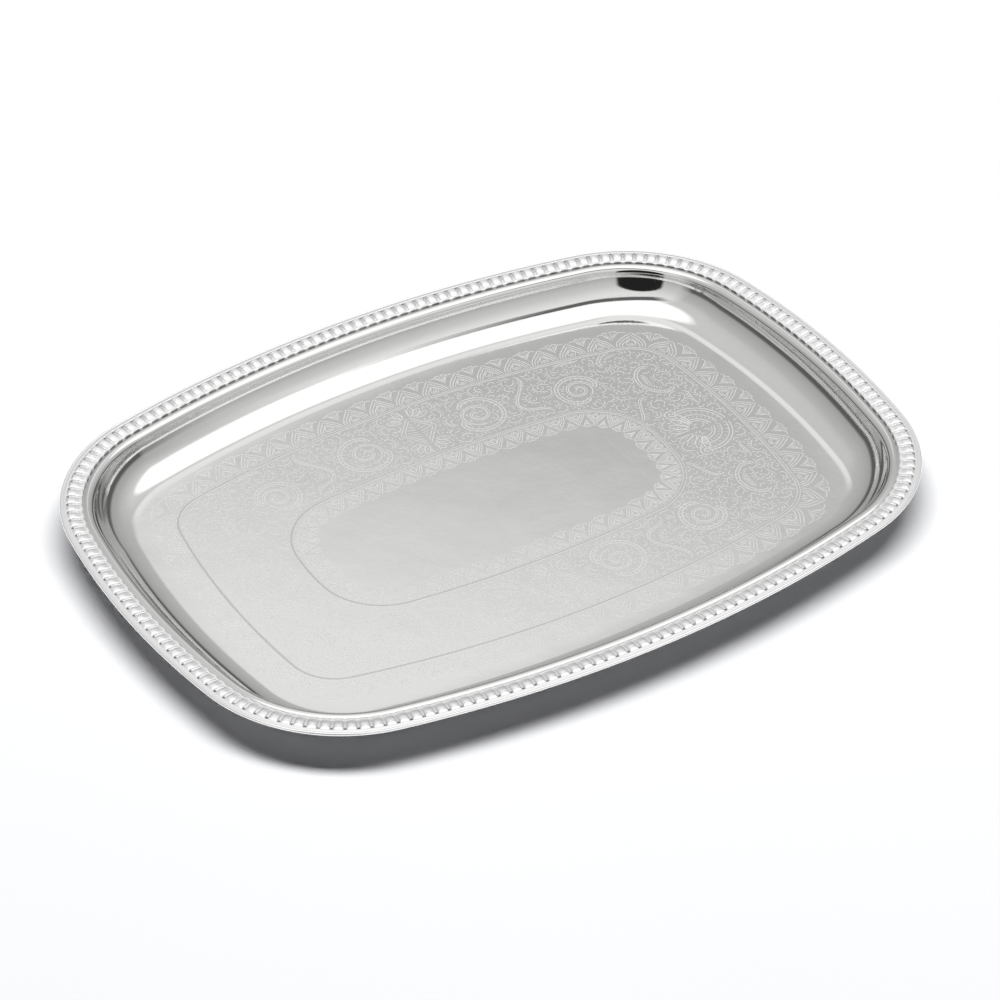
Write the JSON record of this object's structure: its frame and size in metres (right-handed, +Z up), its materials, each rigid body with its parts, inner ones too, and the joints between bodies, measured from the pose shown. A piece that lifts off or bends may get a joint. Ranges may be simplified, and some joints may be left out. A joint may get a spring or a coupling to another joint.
{
  "type": "serving tray",
  "caption": "Low oblong serving tray with bowed sides, a hollow cove wall, an engraved well and a soldered lobed border in separate lengths.",
  "frame": {"origin": "middle of the underside of the flat floor, on the surface the tray stands on", "axes": "+X along the length, +Y across the width towards the back, +Z up out of the well"},
  "size_m": [0.31, 0.2288, 0.016],
  "materials": {
    "tray_silver": "bright polished silver plate, machine engraved in the well",
    "border_silver": "bright polished silver plate with darker tarnish left in the grooves"
  },
  "bodies": {
    "root": {"tray_body": "tray_silver", "gadroon_end_right": "border_silver", "gadroon_corner_back_right": "border_silver", "gadroon_side_back": "border_silver", "gadroon_corner_back_left": "border_silver", "gadroon_end_left": "border_silver", "gadroon_corner_front_left": "border_silver", "gadroon_side_front": "border_silver", "gadroon_corner_front_right": "border_silver"}
  },
  "joints": []
}
